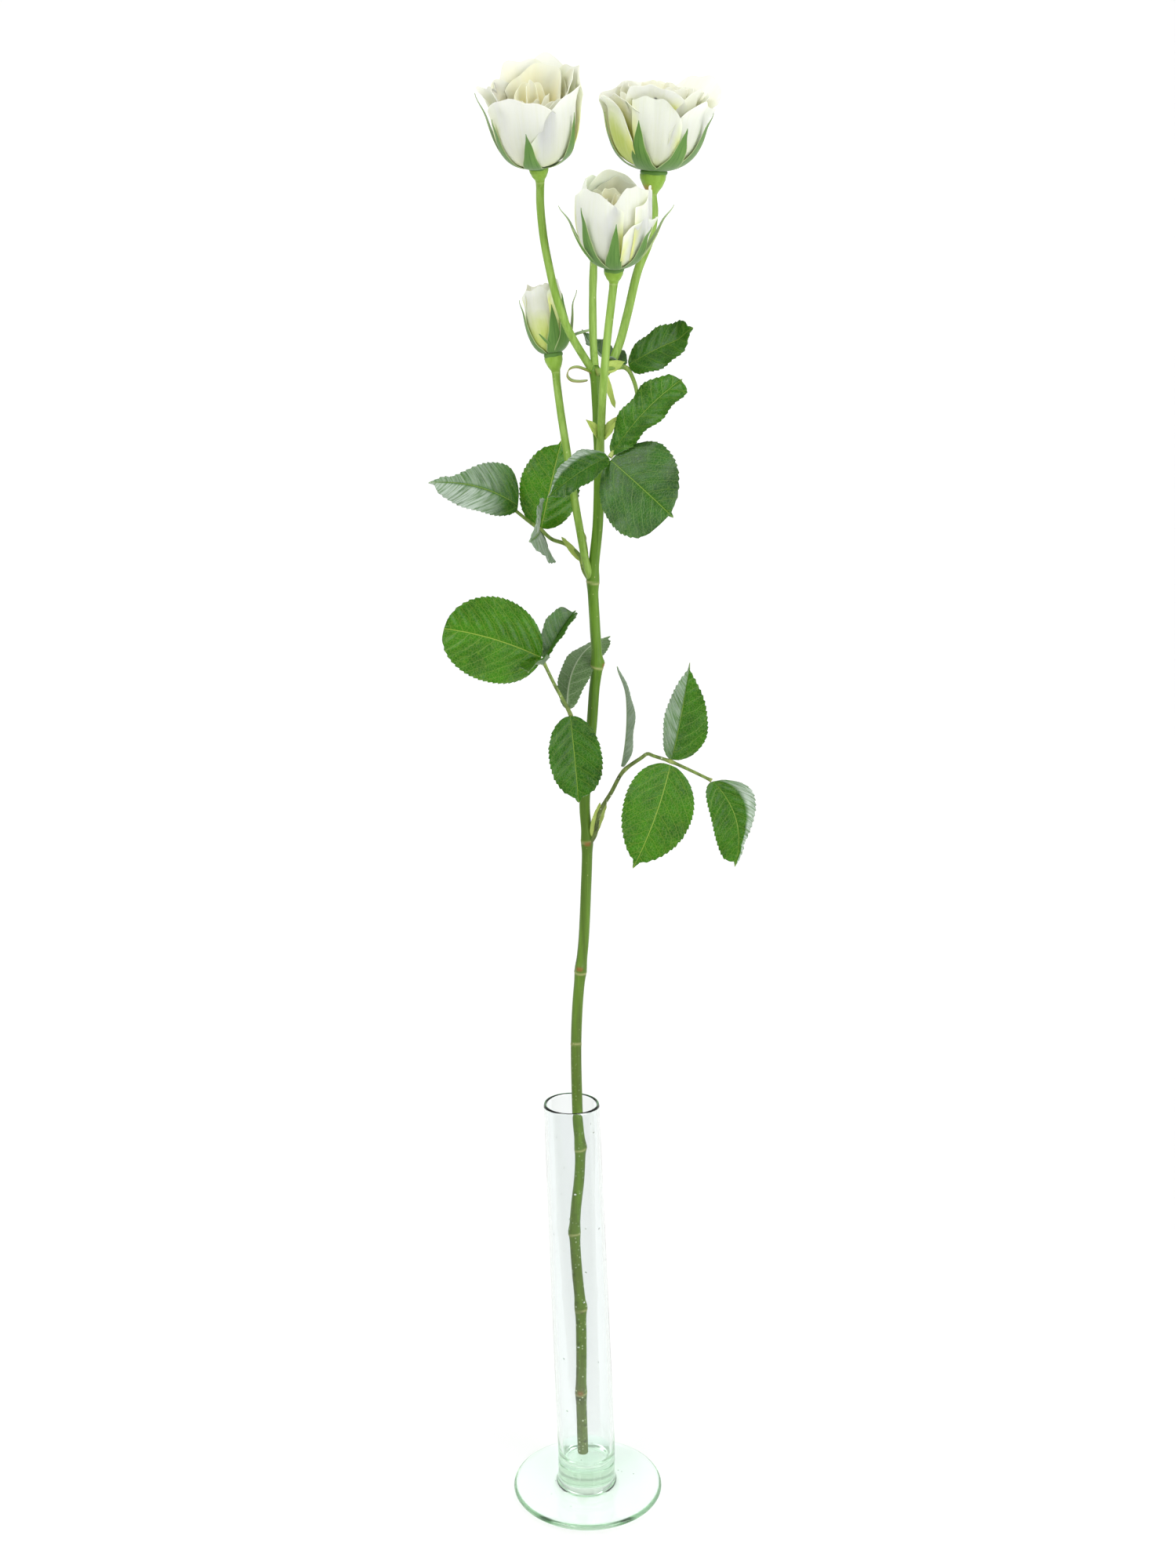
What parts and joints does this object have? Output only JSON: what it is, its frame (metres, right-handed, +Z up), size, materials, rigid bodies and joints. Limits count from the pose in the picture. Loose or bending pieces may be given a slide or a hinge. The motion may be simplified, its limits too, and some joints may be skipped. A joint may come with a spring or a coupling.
{
  "type": "multi-bloom rose stem in a vase",
  "caption": "Cut spray rose stem with open blooms, a bud and compound leaves, standing in a slender glass vase with a tube on a round foot.",
  "frame": {"origin": "centre of the underside of the vase's foot, on the surface it stands on", "axes": "+Z up along the stem; the side seen in the picture faces -Y; +X is to that viewer's right"},
  "size_m": [0.1422, 0.073, 0.6566],
  "materials": {
    "glass": "clear pale aqua glass, smooth, with a few small bubbles",
    "stem": "green rose bark, satin",
    "stalk": "young green stalk, satin",
    "leaf": "green rose leaf, glossy above, paler and matt below",
    "sepal": "grey-green sepal, matt, slightly downy",
    "petal": "ivory white rose petal, soft and matt"
  },
  "bodies": {
    "root": {"vase": "glass", "main_stem_lower": "stem", "main_stem_upper": "stem", "stalk_bud": "stalk", "stalk_cut_stub": "stalk", "stalk_left_bloom": "stalk", "stalk_middle_bloom": "stalk", "stalk_right_bloom": "stalk", "calyx_bud": "sepal", "calyx_left_bloom": "sepal", "calyx_middle_bloom": "sepal", "calyx_right_bloom": "sepal", "heart_bud": "petal", "heart_left_bloom": "petal", "heart_middle_bloom": "petal", "heart_right_bloom": "petal", "petal_bud_1": "petal", "petal_bud_2": "petal", "petal_bud_3": "petal", "petal_left_bloom_1": "petal", "petal_left_bloom_2": "petal", "petal_left_bloom_3": "petal", "petal_left_bloom_4": "petal", "petal_left_bloom_5": "petal", "petal_middle_bloom_1": "petal", "petal_middle_bloom_2": "petal", "petal_middle_bloom_3": "petal", "petal_middle_bloom_4": "petal", "petal_middle_bloom_5": "petal", "petal_right_bloom_1": "petal", "petal_right_bloom_2": "petal", "petal_right_bloom_3": "petal", "petal_right_bloom_4": "petal", "petal_right_bloom_5": "petal", "leaf_lower_right_leaflet_1": "leaf", "leaf_lower_right_leaflet_2": "leaf", "leaf_lower_right_leaflet_3": "leaf", "leaf_lower_right_leaflet_4": "leaf", "leaf_lower_right_stalk": "stalk", "leaf_middle_left_leaflet_1": "leaf", "leaf_middle_left_leaflet_2": "leaf", "leaf_middle_left_leaflet_3": "leaf", "leaf_middle_left_leaflet_4": "leaf", "leaf_middle_left_leaflet_5": "leaf", "leaf_middle_left_stalk": "stalk", "leaf_upper_left_leaflet_1": "leaf", "leaf_upper_left_leaflet_2": "leaf", "leaf_upper_left_leaflet_3": "leaf", "leaf_upper_left_stalk": "stalk", "leaf_upper_right_leaflet_1": "leaf", "leaf_upper_right_leaflet_2": "leaf", "leaf_upper_right_leaflet_3": "leaf", "leaf_upper_right_leaflet_4": "leaf", "leaf_upper_right_leaflet_5": "leaf", "leaf_upper_right_stalk": "stalk", "bract_curled": "sepal", "bract_fork_left": "sepal", "bract_fork_right": "sepal"}
  },
  "joints": []
}
